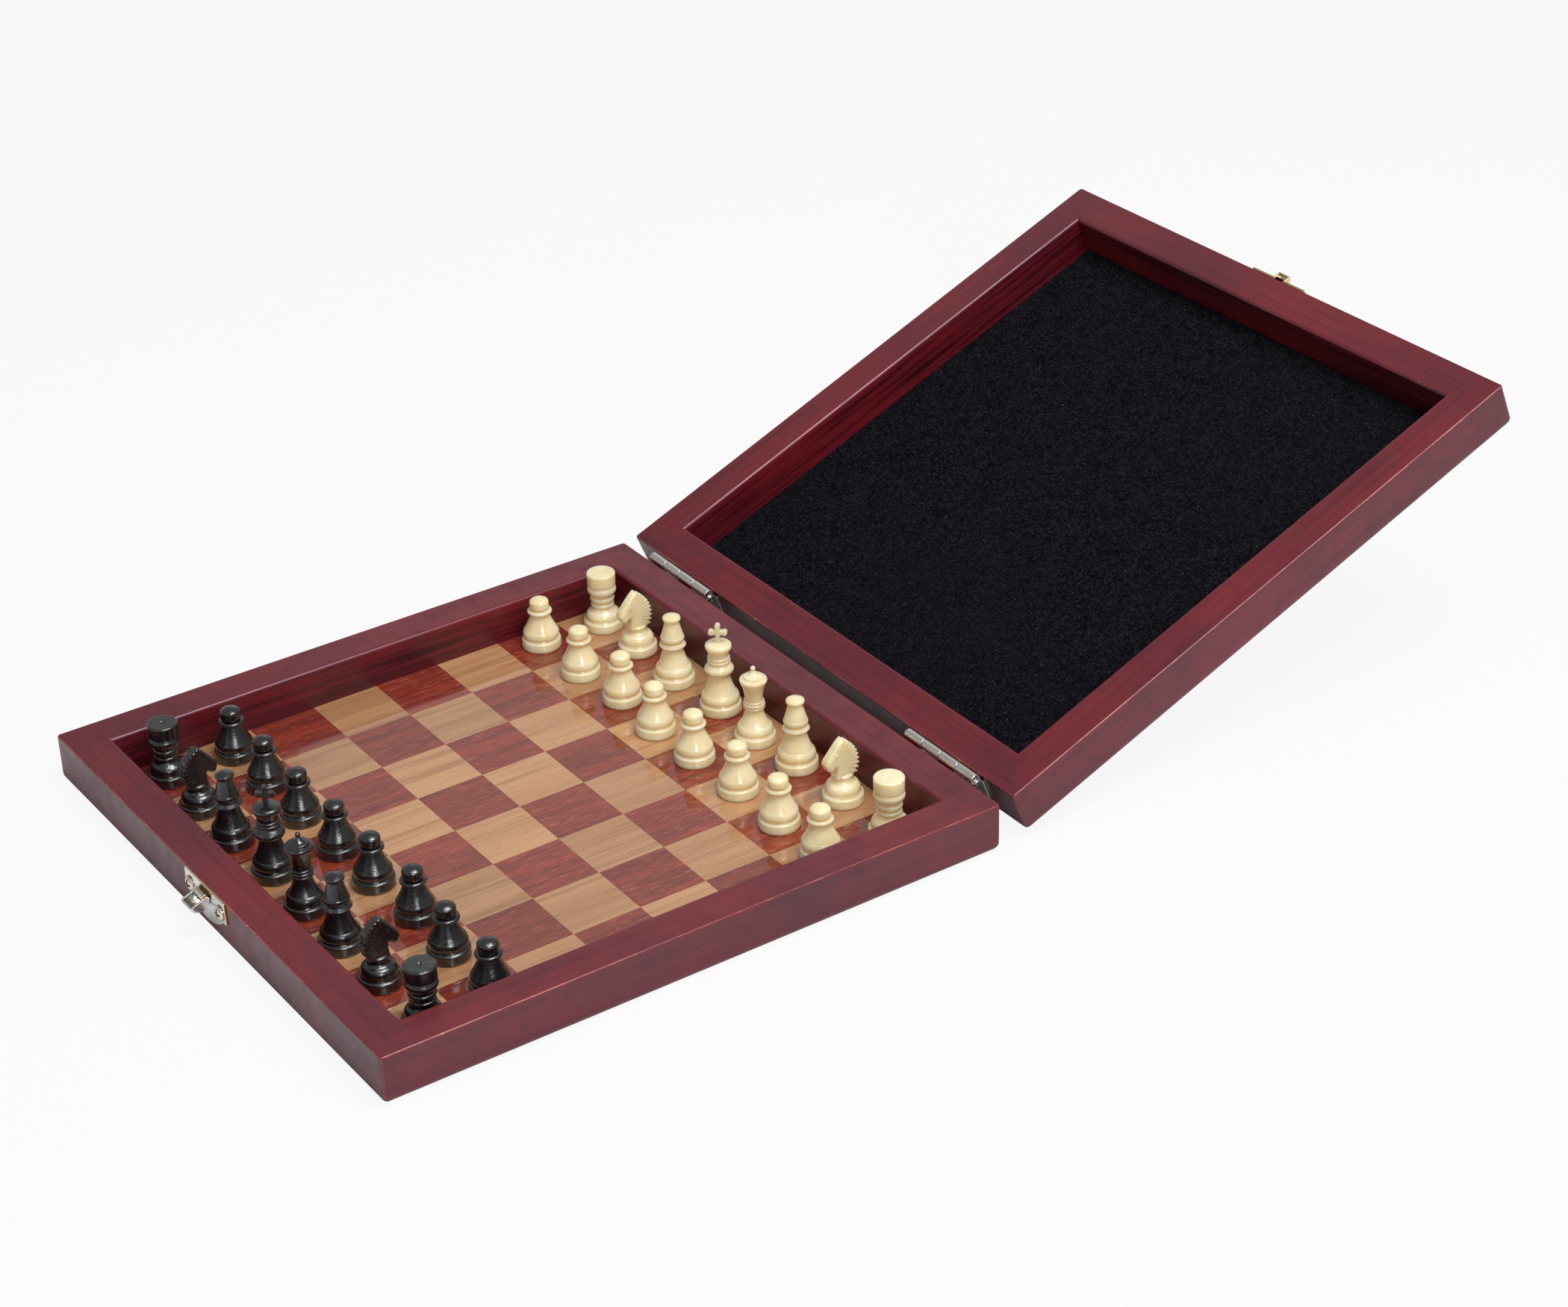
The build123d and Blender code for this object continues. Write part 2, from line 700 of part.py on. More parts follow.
def knight_man():
    """The knight: a turned foot with a carved horse's head that looks along +X."""
    rise = knight_height - knight_collar
    with BuildPart() as head:
        with BuildSketch(Plane.XZ.offset(-knight_thickness)):
            with BuildLine():
                Polyline(throat, jaw, chin, nose_tip, nose_bridge, brow, ear, poll)
                ThreePointArc(poll, crest, nape)
                Line(nape, chest)
                ThreePointArc(chest, breast, throat)
            make_face()
        extrude(amount=2 * knight_thickness)
        across = head.edges().filter_by(Axis.Y).filter_by(lambda edge: edge.center().Z > knight_collar)
        fillet(across, knight_corner)
        with BuildSketch(Plane.YZ.offset(-knight_base)):
            with Locations((0, knight_collar)):
                Trapezoid(knight_thickness, rise, knight_taper, align=(Align.CENTER, Align.MIN))
        extrude(amount=3 * knight_base, mode=Mode.INTERSECT)
        flanks = head.faces().filter_by(lambda face: abs(face.normal_at().Y) > 0.9)
        fillet(flanks.edges().filter_by(lambda edge: edge.center().Z > knight_collar), knight_round)
    middle, radius = arc_centre(poll, crest, nape)
    with BuildPart() as man:
        add(head.part)
        for lock in range(mane_locks):
            turn = mane_start + lock * mane_step
            reach = radius + mane_proud - mane_length / 2
            spot = (middle[0] + reach * cos(radians(turn)), middle[1] + reach * sin(radians(turn)))
            width = knight_thickness - 2 * (spot[1] - knight_collar) / tan(radians(knight_taper)) + mane_proud
            with BuildSketch(Plane.XZ.offset(-width / 2)):
                with Locations(Location((*spot, 0), (0, 0, turn))):
                    SlotOverall(mane_length, mane_width)
            extrude(amount=width)
        with Locations((eye[0], 0, eye[1])):
            Cylinder(eye_radius, eye_width, rotation=(90, 0, 0))
        add(turned_man(knight_outline, knight_body, knight_base))
    return man.part


men_shapes = {
    "king": king_man(),
    "queen": turned_man(queen_outline, queen_height, queen_base),
    "bishop": turned_man(bishop_outline, bishop_height, bishop_base),
    "knight": knight_man(),
    "rook": turned_man(rook_outline, rook_height, rook_base),
    "pawn": turned_man(pawn_outline, pawn_height, pawn_base),
}
back_rank = ["rook", "knight", "bishop", "king", "queen", "bishop", "knight", "rook"]
pawn_rank = ["pawn"] * squares_per_side

# How far each man stands from the middle of its square, as a hand sets them down.
ranks = [
    ("black", 0, back_rank,
     [(0.1, 0.6), (-0.4, 0.4), (-1.2, 0.3), (-0.2, 2.1), (-0.7, 1.0), (-0.8, 0.6), (-0.7, 0.7), (1.5, 1.0)]),
    ("black", 1, pawn_rank,
     [(0.3, 0.5), (-0.3, 0.5), (-0.1, 0.1), (0.1, 0.6), (-0.6, 0.7), (-0.5, 2.1), (-1.0, 0.3), (-1.1, 1.0)]),
    ("white", 6, pawn_rank,
     [(-1.6, 0), (0, 0.1), (-0.4, 1.9), (-0.6, 0.2), (-1.7, 0.6), (-0.7, 0.9), (-0.5, 0.3), (-1.8, 0.6)]),
    ("white", 7, back_rank,
     [(0, 0.3), (-2.0, 0.6), (-0.4, -0.9), (0.4, 1.3), (0.1, -0.6), (-2.0, 0.9), (-0.3, 0.9), (1.1, 0.8)]),
]
turns = {
    "black_knight": 90,
    "white_knight": -90,
    "black_king": king_cross_turn,
    "white_king": king_cross_turn,
}

for side, rank, men, shifts in ranks:
    for file, (kind, shift) in enumerate(zip(men, shifts)):
        centre = square_centre(file, rank)
        node = f"{side}_{kind}"
        turn = turns.get(node, 0)
        if men.count(kind) > 1:
            node += f"_{men[: file + 1].count(kind)}"
        spot = Location((centre[0] + shift[0], centre[1] + shift[1], board_top), (0, 0, turn))
        with BuildPart() as man:
            with Locations(spot):
                add(men_shapes[kind])
        save(man.part, node)
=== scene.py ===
"""Looks of the travelling chess set: lacquered box, veneered board, felt, nickel fittings and moulded men.

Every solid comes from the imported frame, in metres, +Z up, with its origin in the middle of the box's
underside. This script gives each node its procedural material and sets up the floor, light and camera.
Noise scales are per metre, and colours are linear RGB.
"""

import json
import math

import bpy
from mathutils import Matrix, Vector


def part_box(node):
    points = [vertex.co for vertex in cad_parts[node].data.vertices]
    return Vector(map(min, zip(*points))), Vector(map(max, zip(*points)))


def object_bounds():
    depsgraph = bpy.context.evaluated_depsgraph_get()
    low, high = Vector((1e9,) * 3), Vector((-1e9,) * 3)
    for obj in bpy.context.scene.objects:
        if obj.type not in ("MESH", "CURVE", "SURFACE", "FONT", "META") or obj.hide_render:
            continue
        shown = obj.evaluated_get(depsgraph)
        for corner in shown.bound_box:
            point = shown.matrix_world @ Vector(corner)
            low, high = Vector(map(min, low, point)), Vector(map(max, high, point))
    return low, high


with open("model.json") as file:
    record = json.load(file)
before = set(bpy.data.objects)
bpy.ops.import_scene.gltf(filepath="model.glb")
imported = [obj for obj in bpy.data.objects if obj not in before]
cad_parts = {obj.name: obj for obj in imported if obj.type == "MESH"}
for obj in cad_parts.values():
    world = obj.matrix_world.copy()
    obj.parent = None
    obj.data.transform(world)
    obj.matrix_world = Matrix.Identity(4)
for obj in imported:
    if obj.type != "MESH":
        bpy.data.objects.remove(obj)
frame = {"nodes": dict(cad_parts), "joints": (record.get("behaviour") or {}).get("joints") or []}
cad_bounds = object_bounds()
nodes = frame["nodes"]
MM = 0.001

# --- Sizes read from the frame ------------------------------------------------------------------
right_low, right_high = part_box("base_right_rail")
board_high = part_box("board_dark_squares")[1]
hinge = next(joint for joint in frame["joints"] if joint["name"] == "lid_hinge")
HINGE_Y, HINGE_Z = hinge["pos_m"][1], hinge["pos_m"][2]
OPEN_ANGLE = math.radians(-hinge["range_deg"][0])
BOX_HALF = right_high[0]
INNER_HALF = right_low[0]
RIM_Z = right_high[2]
LID_RIM_Z = 2 * HINGE_Z - RIM_Z  # as the lid lies when shut
LID_REACH = cad_bounds[1][1]
BOARD_HALF = board_high[0]
SQUARES_PER_SIDE = 8
SQUARE = 2 * BOARD_HALF / SQUARES_PER_SIDE


# --- Node helpers -------------------------------------------------------------------------------
class Nodes:
    """A node tree with short ways to add the nodes that this script uses."""

    def __init__(self, tree, output_kind):
        self.tree = tree
        self.tree.nodes.clear()
        self.output = self.node(output_kind)

    def node(self, kind, **settings):
        made = self.tree.nodes.new(kind)
        for key, value in settings.items():
            setattr(made, key, value)
        return made

    def feed(self, socket, value):
        """Link a socket's value, or set it. A colour's alpha is 1."""
        if isinstance(value, bpy.types.NodeSocket):
            self.tree.links.new(value, socket)
        elif socket.type == "RGBA":
            socket.default_value = (*value, 1.0)
        else:
            socket.default_value = value

    def math(self, operation, first, second=0.0, clamp=False):
        made = self.node("ShaderNodeMath", operation=operation, use_clamp=clamp)
        self.feed(made.inputs[0], first)
        self.feed(made.inputs[1], second)
        return made.outputs[0]

    def plus(self, first, second):
        return self.math("ADD", first, second)

    def times(self, first, second):
        return self.math("MULTIPLY", first, second)

    def larger(self, first, second):
        return self.math("MAXIMUM", first, second)

    def gap(self, first, second):
        """How far apart two numbers are."""
        return self.math("ABSOLUTE", self.math("SUBTRACT", first, second))

    def split(self, vector):
        made = self.node("ShaderNodeSeparateXYZ")
        self.feed(made.inputs[0], vector)
        return made.outputs

    def ease(self, value, span, to=(0.0, 1.0)):
        """Smooth step from to[0] to to[1], as the value crosses its span."""
        made = self.node("ShaderNodeMapRange", interpolation_type="SMOOTHSTEP")
        for socket, number in zip(made.inputs, (value, *span, *to)):
            self.feed(socket, number)
        return made.outputs[0]

    def mix(self, factor, first, second):
        """A colour between two colours."""
        made = self.node("ShaderNodeMix", data_type="RGBA")
        self.feed(made.inputs[0], factor)
        self.feed(made.inputs[6], first)
        self.feed(made.inputs[7], second)
        return made.outputs[2]

    def blend(self, factor, first, second):
        """A shader between two shaders."""
        made = self.node("ShaderNodeMixShader")
        for socket, value in zip(made.inputs, (factor, first.outputs[0], second.outputs[0])):
            self.feed(socket, value)
        return made

    def show(self, shader):
        self.tree.links.new(shader.outputs[0], self.output.inputs[0])


class Shader(Nodes):
    """A new material's node tree."""

    def __init__(self, name):
        self.material = bpy.data.materials.new(name)
        self.material.use_nodes = True
        super().__init__(self.material.node_tree, "ShaderNodeOutputMaterial")

    def object_point(self):
        return self.node("ShaderNodeTexCoord").outputs["Object"]

    def shut_point(self):
        """Where the point of a lid piece lies when the lid is shut."""
        turn = self.node("ShaderNodeVectorRotate", rotation_type="X_AXIS")
        self.feed(turn.inputs["Vector"], self.object_point())
        self.feed(turn.inputs["Center"], (0, HINGE_Y, HINGE_Z))
        self.feed(turn.inputs["Angle"], OPEN_ANGLE)
        return turn.outputs[0]

    def noise(self, vector, scale, detail=4.0, roughness=0.5, distortion=0.0):
        made = self.node("ShaderNodeTexNoise")
        self.feed(made.inputs["Vector"], vector)
        self.feed(made.inputs["Scale"], scale)
        self.feed(made.inputs["Detail"], detail)
        self.feed(made.inputs["Roughness"], roughness)
        self.feed(made.inputs["Distortion"], distortion)
        return made.outputs["Fac"]

    def stretched_noise(self, vector, scales, **settings):
        """Noise with its own scale along X, Y and Z."""
        made = self.node("ShaderNodeMapping")
        self.feed(made.inputs["Vector"], vector)
        self.feed(made.inputs["Scale"], scales)
        return self.noise(made.outputs[0], scale=1.0, **settings)

    def open_sky(self, reach, samples=8):
        """1 on open faces, and less in hollows narrower than this reach."""
        made = self.node("ShaderNodeAmbientOcclusion", samples=samples)
        self.feed(made.inputs["Distance"], reach)
        return made.outputs["AO"]

    def bump(self, height, distance, strength=1.0, normal=None):
        made = self.node("ShaderNodeBump")
        self.feed(made.inputs["Strength"], strength)
        self.feed(made.inputs["Distance"], distance)
        self.feed(made.inputs["Height"], height)
        if normal is not None:
            self.feed(made.inputs["Normal"], normal)
        return made.outputs[0]

    def finish(self, **sockets):
        """End in the Principled shader. Keyword coat_weight=1 sets its socket Coat Weight."""
        made = self.node("ShaderNodeBsdfPrincipled")
        for keyword, value in sockets.items():
            socket_name = keyword.replace("_", " ").title().replace("Ior", "IOR")
            self.feed(made.inputs[socket_name], value)
        self.show(made)
        return self.material


def dress(node, material):
    """Give every slot of a CAD node's object this material."""
    for slot in nodes[node].material_slots:
        slot.material = material


# --- Lacquered wood -----------------------------------------------------------------------------
LACQUER = (0.104, 0.006, 0.0125)
LACQUER_DARK = (0.03, 0.0015, 0.0045)
LACQUER_WARM = (0.148, 0.008, 0.0115)
LACQUER_SHEEN = (0.82, 0.85, 1.0)
WORN = (0.42, 0.12, 0.075)
BARE_WOOD = (0.68, 0.4, 0.24)
CORNER_ROUND, RIM_ROUND, INNER_ROUND = 1.2 * MM, 0.5 * MM, 1.2 * MM
WORN_LINE = (0.6, 0.82)  # where it is full and where it ends: both distances together, over the radius
CORNER_WEAR = 0.6  # wear of the upright corners, against that of the rims
SKIN = 0.25 * MM  # how far inside a face still counts as that face


def edge_mask(s, near_a, near_b, radius):
    """1 on the middle of the rounding between two faces, from the distances to both, and 0 off it."""
    full, end = WORN_LINE
    return s.ease(s.plus(near_a, near_b), (radius * full, radius * end), to=(1.0, 0.0))


def lacquered_wood(name, along, in_lid):
    """Dark red lacquer on a rail whose grain runs along axis 0 or 1, or on a panel."""
    s = Shader(name)
    point = s.shut_point() if in_lid else s.object_point()
    x, y, z = s.split(point)
    from_middle_x, from_middle_y = s.math("ABSOLUTE", x), s.math("ABSOLUTE", y)
    out_x, in_x = s.gap(from_middle_x, BOX_HALF), s.gap(from_middle_x, INNER_HALF)
    out_y, in_y = s.gap(from_middle_y, BOX_HALF), s.gap(from_middle_y, INNER_HALF)
    side, inner = (out_y, in_y) if along == 0 else (out_x, in_x)
    to_rim = s.gap(z, LID_RIM_Z if in_lid else RIM_Z)

    # Worn lines follow the edges, thin and broken, with a few chips down to bare wood.
    blotch = s.noise(point, scale=55, detail=5, roughness=0.6)
    fleck = s.noise(point, scale=650, detail=5, roughness=0.7)
    inner_wear = s.ease(blotch, (0.55, 0.75), to=(0.0, 0.25))
    lines = s.times(edge_mask(s, out_x, out_y, CORNER_ROUND), CORNER_WEAR)
    lines = s.larger(lines, edge_mask(s, side, to_rim, RIM_ROUND))
    lines = s.larger(lines, s.times(edge_mask(s, inner, to_rim, INNER_ROUND), inner_wear))
    rubbed = s.ease(blotch, (0.38, 0.62), to=(0.12, 0.6))
    rubbed = s.plus(rubbed, s.ease(fleck, (0.45, 0.7), to=(0.0, 0.4)))
    wear = s.math("MULTIPLY", lines, rubbed, clamp=True)
    chip = s.times(lines, s.ease(s.times(blotch, fleck), (0.36, 0.41)))

    # Grain shows along the rail, most on the inner walls.
    def streaks(lengthwise, crosswise, **settings):
        scales = [crosswise, crosswise, crosswise]
        scales[along] = lengthwise
        return s.stretched_noise(point, scales, **settings)

    grain = streaks(14, 620, detail=6, roughness=0.62, distortion=0.3)
    bands = streaks(7, 110, detail=4, roughness=0.55)
    cloud = s.noise(point, scale=20, detail=4, roughness=0.55)
    mottle = s.noise(point, scale=130, detail=5, roughness=0.6)
    on_wall = s.ease(inner, (SKIN, 2 * SKIN), to=(1.0, 0.35))
    grain_share = s.times(s.ease(grain, (0.44, 0.68)), on_wall)
    band_share = s.times(s.ease(bands, (0.45, 0.72)), s.times(on_wall, 0.8))
    speck = s.ease(s.noise(point, scale=1300, detail=2, roughness=0.5), (0.735, 0.77))
    speck = s.times(speck, s.ease(blotch, (0.5, 0.62), to=(0.0, 0.45)))
    colour = s.mix(s.ease(cloud, (0.38, 0.62)), LACQUER, LACQUER_WARM)
    colour = s.mix(grain_share, colour, LACQUER_DARK)
    colour = s.mix(band_share, colour, LACQUER_DARK)
    colour = s.mix(s.ease(mottle, (0.5, 0.8), to=(0.0, 0.35)), colour, LACQUER_DARK)
    colour = s.mix(speck, colour, WORN)
    colour = s.mix(wear, colour, WORN)
    colour = s.mix(chip, colour, BARE_WOOD)

    dents = s.noise(point, scale=240, detail=3, roughness=0.5)
    height = s.plus(s.times(grain, 0.5), s.times(dents, 0.6))
    height = s.math("SUBTRACT", height, s.times(chip, 2.0))
    return s.finish(
        base_color=colour,
        roughness=s.ease(mottle, (0.3, 0.75), to=(0.3, 0.44)),
        specular_ior_level=0.68,
        specular_tint=LACQUER_SHEEN,
        normal=s.bump(height, 0.07 * MM, 0.8),
        coat_weight=0.08,
        coat_roughness=0.2,
    )


# --- Board --------------------------------------------------------------------------------------
RED_WOOD = (0.235, 0.027, 0.009)
RED_BAND = (0.125, 0.013, 0.007)
RED_FIBRE = (0.1, 0.014, 0.01)
RED_DASH = (0.42, 0.1, 0.05)
RED_PORE = (0.6, 0.25, 0.15)
TAN_WOOD = (0.47, 0.25, 0.118)
TAN_BAND = (0.37, 0.18, 0.08)
TAN_LINE = (0.26, 0.115, 0.05)
TAN_FIBRE = (0.31, 0.148, 0.065)
TAN_PORE = (0.16, 0.06, 0.03)


class Veneer(Shader):
    """Squares whose grain runs along Y.

    Each is cut from another place of the sheet, and is a little lighter or darker than its neighbours.
    """

    def __init__(self, name):
        super().__init__(name)
        self.point = self.object_point()
        x, y, _ = self.split(self.point)
        index = self.node("ShaderNodeCombineXYZ")
        for socket, place in ((index.inputs[0], x), (index.inputs[1], y)):
            count = self.math("DIVIDE", self.plus(place, BOARD_HALF), SQUARE)
            self.feed(socket, self.math("FLOOR", count))
        pick = self.node("ShaderNodeTexWhiteNoise", noise_dimensions="3D")
        self.feed(pick.inputs["Vector"], index.outputs[0])
        shifted = self.node("ShaderNodeVectorMath", operation="ADD")
        self.feed(shifted.inputs[0], self.point)
        self.feed(shifted.inputs[1], pick.outputs["Color"])
        self.sheet_point = shifted.outputs[0]
        self.luck = pick.outputs["Value"]

    def fibres(self, across, along, **settings):
        return self.stretched_noise(self.sheet_point, (across, along, 1), **settings)

    def lacquered(self, colour, fibre):
        shade = self.node("ShaderNodeHueSaturation")
        self.feed(shade.inputs["Value"], self.ease(self.luck, (0.0, 1.0), to=(0.88, 1.1)))
        self.feed(shade.inputs["Color"], colour)
        ripple = self.noise(self.point, scale=45, detail=3, roughness=0.5)
        return self.finish(
            base_color=shade.outputs[0],
            roughness=0.45,
            specular_ior_level=0.3,
            normal=self.bump(fibre, 0.02 * MM, 0.3),
            coat_weight=1.0,
            coat_roughness=0.03,
            coat_normal=self.bump(ripple, 0.04 * MM, 0.2),
        )


def red_veneer():
    """Reddish brown wood with fine pale dashes and dark bands."""
    s = Veneer("veneer_red")
    bands = s.fibres(260, 14, detail=4, roughness=0.6, distortion=0.5)
    fibre = s.fibres(1900, 60, detail=5, roughness=0.6)
    dash = s.fibres(2600, 170, detail=3, roughness=0.6)
    pore = s.fibres(3200, 420, detail=2, roughness=0.5)
    colour = s.mix(s.ease(bands, (0.36, 0.68)), RED_WOOD, RED_BAND)
    colour = s.mix(s.ease(fibre, (0.4, 0.75), to=(0.0, 0.55)), colour, RED_FIBRE)
    colour = s.mix(s.ease(dash, (0.52, 0.72), to=(0.0, 0.75)), colour, RED_DASH)
    colour = s.mix(s.ease(pore, (0.68, 0.76), to=(0.0, 0.5)), colour, RED_PORE)
    return s.lacquered(colour, fibre)


def tan_veneer():
    """Pale wood with soft darker lines and short dark pores."""
    s = Veneer("veneer_tan")
    bands = s.fibres(170, 9, detail=4, roughness=0.6, distortion=0.6)
    line = s.fibres(520, 12, detail=3, roughness=0.55, distortion=0.6)
    fibre = s.fibres(2100, 90, detail=5, roughness=0.6)
    pore = s.fibres(2400, 520, detail=2, roughness=0.5)
    colour = s.mix(s.ease(bands, (0.35, 0.7)), TAN_WOOD, TAN_BAND)
    colour = s.mix(s.ease(line, (0.54, 0.66), to=(0.0, 0.65)), colour, TAN_LINE)
    colour = s.mix(s.ease(fibre, (0.4, 0.8), to=(0.0, 0.45)), colour, TAN_FIBRE)
    colour = s.mix(s.ease(pore, (0.66, 0.74), to=(0.0, 0.75)), colour, TAN_PORE)
    return s.lacquered(colour, fibre)


# --- Felt ---------------------------------------------------------------------------------------
NAP_DARK = (0.0015, 0.0013, 0.0021)
NAP_LIGHT = (0.0055, 0.0048, 0.0068)
FUZZ_AND_SHEEN = (0.021, 0.0195, 0.0245)
FADED = (0.008, 0.0072, 0.0098)
LINT = (0.25, 0.25, 0.27)


def black_felt():
    """Pressed felt with a short fuzz whose lighter tips are partly painted sheen, slightly faded in
    patches, with specks of lint.
    """
    s = Shader("felt_black")
    point = s.shut_point()
    fuzz = s.noise(point, scale=1300, detail=5, roughness=0.8)
    nap = s.noise(point, scale=260, detail=5, roughness=0.75)
    patch = s.noise(point, scale=16, detail=4, roughness=0.6)
    lint = s.ease(s.noise(point, scale=1700, detail=2, roughness=0.4), (0.735, 0.765))
    colour = s.mix(s.ease(nap, (0.35, 0.7)), NAP_DARK, NAP_LIGHT)
    # The fuzz tips are lighter: partly the fibres' own tone, partly painted sheen.
    colour = s.mix(s.ease(fuzz, (0.46, 0.66)), colour, FUZZ_AND_SHEEN)
    colour = s.mix(s.ease(patch, (0.4, 0.7), to=(0.0, 0.25)), colour, FADED)
    colour = s.mix(s.times(lint, 0.5), colour, LINT)
    height = s.plus(s.times(fuzz, 0.7), s.times(nap, 0.6))
    return s.finish(
        base_color=colour,
        roughness=0.95,
        specular_ior_level=0.0,
        sheen_weight=0.01,
        sheen_roughness=0.4,
        normal=s.bump(height, 0.5 * MM, 0.9),
    )


# --- Moulded men --------------------------------------------------------------------------------
CREAM = (0.82, 0.72, 0.485)
CREAM_SWIRL = (0.75, 0.61, 0.36)
CREAM_HOLLOW_SHADE = (0.76, 0.5, 0.19)
BLACK = (0.002, 0.002, 0.003)
BLACK_WAVE = (0.005, 0.005, 0.007)


def cream_plastic():
    """Glossy, slightly see-through plastic, cloudy inside, with painted warm shade in its hollows."""
    s = Shader("plastic_cream")
    point = s.object_point()
    swirl = s.noise(point, scale=90, detail=4, roughness=0.6, distortion=0.8)
    pebble = s.noise(point, scale=800, detail=3, roughness=0.5)
    wave = s.noise(point, scale=230, detail=3, roughness=0.5)
    # Painted shade: the colour turns darker and warmer in hollows, from an occlusion mask.
    hollow_shade = s.ease(s.open_sky(2.5 * MM), (0.35, 0.95), to=(0.5, 0.0))
    colour = s.mix(s.ease(swirl, (0.3, 0.7)), CREAM, CREAM_SWIRL)
    colour = s.mix(hollow_shade, colour, CREAM_HOLLOW_SHADE)
    height = s.plus(s.times(pebble, 0.3), wave)
    return s.finish(
        base_color=colour,
        roughness=s.ease(wave, (0.3, 0.7), to=(0.13, 0.24)),
        subsurface_weight=0.85,
        subsurface_radius=(1.0, 0.8, 0.42),
        subsurface_scale=6 * MM,
        normal=s.bump(height, 0.09 * MM, 0.45),
        coat_weight=0.3,
        coat_roughness=0.08,
    )


def black_plastic():
    """Black plastic with a softly pebbled gloss."""
    s = Shader("plastic_black")
    point = s.object_point()
    pebble = s.noise(point, scale=2100, detail=3, roughness=0.6)
    wave = s.noise(point, scale=300, detail=3, roughness=0.5)
    rough_skin = s.bump(s.plus(s.times(pebble, 0.3), wave), 0.22 * MM, 0.7)
    return s.finish(
        base_color=s.mix(s.ease(wave, (0.3, 0.7)), BLACK, BLACK_WAVE),
        roughness=s.ease(pebble, (0.3, 0.7), to=(0.22, 0.36)),
        specular_ior_level=0.6,
        normal=rough_skin,
        coat_weight=1.0,
        coat_roughness=0.2,
        coat_normal=rough_skin,
    )


# --- Nickel -------------------------------------------------------------------------------------
PLATE_TINT, PLATE_EDGE = (0.84, 0.83, 0.82), (0.9, 0.62, 0.3)
LEVER_TINT, LEVER_EDGE = (0.84, 0.83, 0.82), (0.85, 0.66, 0.4)
HINGE_TINT, HINGE_EDGE_GLINT = (0.88, 0.85, 0.81), (1.0, 0.97, 0.9)
SCREW_TINT, SCREW_EDGE = (0.76, 0.7, 0.6), (0.85, 0.62, 0.36)
SMEARED = (0.66, 0.6, 0.52)
# The colour of the painted shade in the hollows.
CREVICE_SHADE = (0.05, 0.035, 0.025)
METAL_ROUND = 0.35 * MM  # how wide the tinted edges look: rubbed brass, and painted glint on the hinges


def nickel(name, tint, edge_tint, roughness, crevice_shade_depth, cut=0.0):
    """Nickel plate, smeared and lightly scratched, with tinted edges and painted shade darkening its
    hollows.

    The roughness is a low and a high value. The edge tint is rubbed brass on the plates, lever and screws,
    and a painted glint on the hinges. On a flat plate that faces Y, cut is how much its cut sides show the
    edge tint.
    """
    s = Shader(name)
    point = s.object_point()
    smear = s.noise(point, scale=330, detail=5, roughness=0.65)
    scratch = s.stretched_noise(point, (300, 3000, 3000), detail=4, roughness=0.6)
    rounded = s.node("ShaderNodeBevel", samples=6)
    s.feed(rounded.inputs["Radius"], METAL_ROUND)
    alike = s.node("ShaderNodeVectorMath", operation="DOT_PRODUCT")
    s.feed(alike.inputs[0], rounded.outputs[0])
    s.feed(alike.inputs[1], s.node("ShaderNodeNewGeometry").outputs["Normal"])
    edge = s.ease(alike.outputs["Value"], (0.84, 0.985), to=(1.0, 0.0))
    # Painted shade: darker in hollows and where parts meet, from an occlusion mask.
    crevice_shade = s.times(s.ease(s.open_sky(1.2 * MM), (0.25, 0.85), to=(1.0, 0.0)), crevice_shade_depth)
    colour = s.mix(s.ease(smear, (0.55, 0.75), to=(0.0, 0.4)), tint, SMEARED)
    # On the hinges the edge tint is near white, a painted glint on the knuckle rims. Elsewhere it is rubbed
    # brass.
    colour = s.mix(edge, colour, edge_tint)
    if cut:
        facing = s.split(s.node("ShaderNodeTexCoord").outputs["Normal"])[1]
        on_side = s.ease(s.math("ABSOLUTE", facing), (0.45, 0.7), to=(cut, 0.0))
        colour = s.mix(on_side, colour, edge_tint)
    colour = s.mix(crevice_shade, colour, CREVICE_SHADE)
    return s.finish(
        base_color=colour,
        metallic=1.0,
        roughness=s.ease(smear, (0.3, 0.7), to=roughness),
        normal=s.bump(s.plus(scratch, smear), 0.04 * MM, 0.5, rounded.outputs[0]),
    )


# --- Which node wears what ----------------------------------------------------------------------
for half, panel, in_lid in (("base", "base_bottom_panel", False), ("lid", "lid_top_panel", True)):
    along_x = lacquered_wood(f"lacquer_{half}_x", 0, in_lid)
    along_y = lacquered_wood(f"lacquer_{half}_y", 1, in_lid)
    for side in ("front", "back"):
        dress(f"{half}_{side}_rail", along_x)
    for side in ("left", "right"):
        dress(f"{half}_{side}_rail", along_y)
    dress(panel, along_y)
dress("board_light_squares", tan_veneer())
dress("board_dark_squares", red_veneer())
dress("lid_felt", black_felt())

cream, black = cream_plastic(), black_plastic()
plate = nickel("nickel_plate", PLATE_TINT, PLATE_EDGE, roughness=(0.1, 0.26), crevice_shade_depth=0.7, cut=0.9)
lever = nickel("nickel_lever", LEVER_TINT, LEVER_EDGE, roughness=(0.1, 0.26), crevice_shade_depth=0.7)
barrel = nickel("nickel_hinges", HINGE_TINT, HINGE_EDGE_GLINT, roughness=(0.12, 0.28), crevice_shade_depth=0.3)
screw = nickel("nickel_screws", SCREW_TINT, SCREW_EDGE, roughness=(0.16, 0.34), crevice_shade_depth=0.95)
for node in nodes:
    if node.startswith("white_"):
        dress(node, cream)
    elif node.startswith("black_"):
        dress(node, black)
    elif "screws" in node:
        dress(node, screw)
    elif "hinge" in node:
        dress(node, barrel)
    elif node in ("catch_plate", "keeper_plate"):
        dress(node, plate)
    elif "catch" in node:
        dress(node, lever)

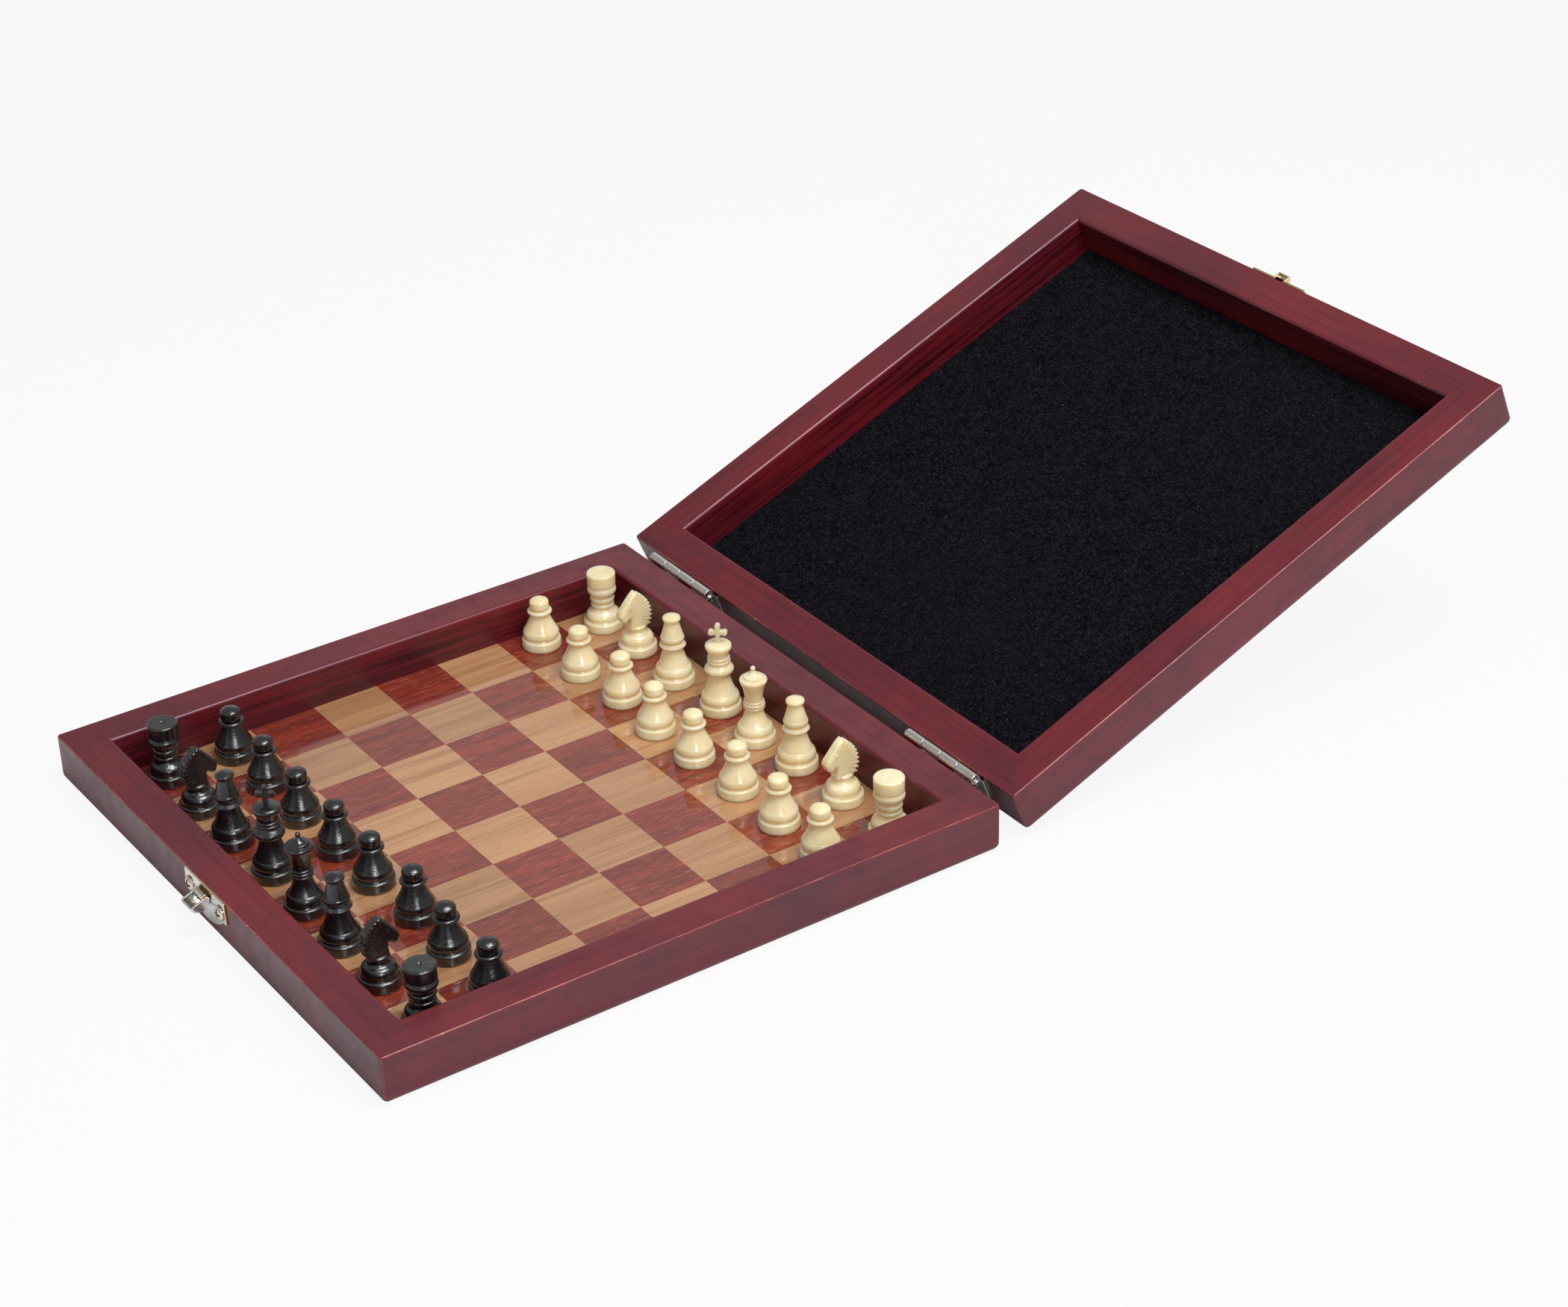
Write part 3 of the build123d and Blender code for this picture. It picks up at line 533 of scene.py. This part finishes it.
# --- Floor and surround -------------------------------------------------------------------------
FLOOR_SIZE = 16.0
FLOOR_PLACE = (0, 0.1, -0.2 * MM)  # a hair below the underside
FLOOR_TONE = (0.55, 0.55, 0.55)
WHITE = (1.0, 1.0, 1.0)
FLOOR_SEEN = 0.9  # how white the floor looks by itself
FLOOR_MIRRORED = 0.6  # the same in a mirror
FLOOR_RAMP = 15 * MM  # over which its mirrored white starts beside the object, the soft edge of a painted shadow
SURROUND_LIGHT = 0.32
SURROUND_SEEN = 1.0


def white_floor():
    """A pale floor that looks near white by itself, and in gloss too, except on a painted shadow where the
    object lies on it.
    """
    s = Shader("floor_white")
    pale = s.node("ShaderNodeBsdfDiffuse")
    s.feed(pale.inputs["Color"], FLOOR_TONE)
    white = s.node("ShaderNodeEmission")
    s.feed(white.inputs["Color"], WHITE)
    rays = s.node("ShaderNodeLightPath").outputs
    x, y, _ = s.split(s.node("ShaderNodeNewGeometry").outputs["Position"])
    beyond_x = s.math("SUBTRACT", s.math("ABSOLUTE", x), BOX_HALF)
    beyond_y = s.larger(s.math("SUBTRACT", -BOX_HALF, y), s.math("SUBTRACT", y, LID_REACH))
    # Painted shadow: in gloss the white is left out over the object's footprint, so only the lit floor
    # shows there.
    clear = s.ease(s.larger(beyond_x, beyond_y), (0.0, FLOOR_RAMP))
    in_gloss = s.times(s.larger(rays["Is Glossy Ray"], rays["Is Transmission Ray"]), clear)
    seen = s.larger(s.times(rays["Is Camera Ray"], FLOOR_SEEN), s.times(in_gloss, FLOOR_MIRRORED))
    s.show(s.blend(seen, pale, white))
    return s.material


def studio_world():
    """A soft grey light from all round, seen as white."""
    world = bpy.data.worlds.new("studio")
    world.use_nodes = True
    s = Nodes(world.node_tree, "ShaderNodeOutputWorld")
    grey, white = s.node("ShaderNodeBackground"), s.node("ShaderNodeBackground")
    for background, strength in ((grey, SURROUND_LIGHT), (white, SURROUND_SEEN)):
        s.feed(background.inputs["Color"], WHITE)
        s.feed(background.inputs["Strength"], strength)
    s.show(s.blend(s.node("ShaderNodeLightPath").outputs["Is Camera Ray"], grey, white))
    return world


bpy.ops.mesh.primitive_plane_add(size=FLOOR_SIZE, location=FLOOR_PLACE)
floor = bpy.context.object
floor.name = "floor"
floor.data.materials.append(white_floor())
bpy.context.scene.world = studio_world()


# --- Lamps --------------------------------------------------------------------------------------
def softbox(name, place, aim, size, power):
    """A rectangular area lamp that looks at a point."""
    lamp = bpy.data.lights.new(name, "AREA")
    lamp.shape = "RECTANGLE"
    lamp.size, lamp.size_y = size
    lamp.energy = power
    stand = bpy.data.objects.new(name, lamp)
    bpy.context.collection.objects.link(stand)
    stand.location = place
    stand.rotation_euler = (Vector(aim) - Vector(place)).to_track_quat("-Z", "Y").to_euler()


softbox("key", place=(0.45, 0.15, 1.15), aim=(0, 0.05, 0), size=(0.6, 0.6), power=14)
softbox("right", place=(1.08, -0.3, 0.64), aim=(0, 0.05, 0), size=(0.3, 0.3), power=4.4)
softbox("front", place=(0.05, -1.1, 0.62), aim=(0, 0.05, 0), size=(0.3, 0.25), power=0.42)
softbox("back", place=(-1.1, 0.75, 0.8), aim=(0, 0.1, 0), size=(0.6, 0.5), power=0.35)

# --- Camera -------------------------------------------------------------------------------------
CAMERA_PLACE = Vector((0.74067, -0.39967, 0.5316))
CAMERA_AHEAD = Vector((-0.72140, 0.48201, -0.49725))
CAMERA_UP = Vector((-0.39548, 0.30268, 0.86717))
SENSOR_WIDTH = 36.0
LENS = 77.19
NEAREST = 0.01

camera_data = bpy.data.cameras.new("camera")
camera_data.sensor_width = SENSOR_WIDTH
camera_data.lens = LENS
camera_data.clip_start = NEAREST
camera = bpy.data.objects.new("camera", camera_data)
bpy.context.collection.objects.link(camera)
right = CAMERA_AHEAD.cross(CAMERA_UP).normalized()
upright = right.cross(CAMERA_AHEAD).normalized()
turn = Matrix((right, upright, -CAMERA_AHEAD.normalized())).transposed()
camera.matrix_world = Matrix.Translation(CAMERA_PLACE) @ turn.to_4x4()
bpy.context.scene.camera = camera
bpy.context.scene.view_settings.view_transform = "Standard"
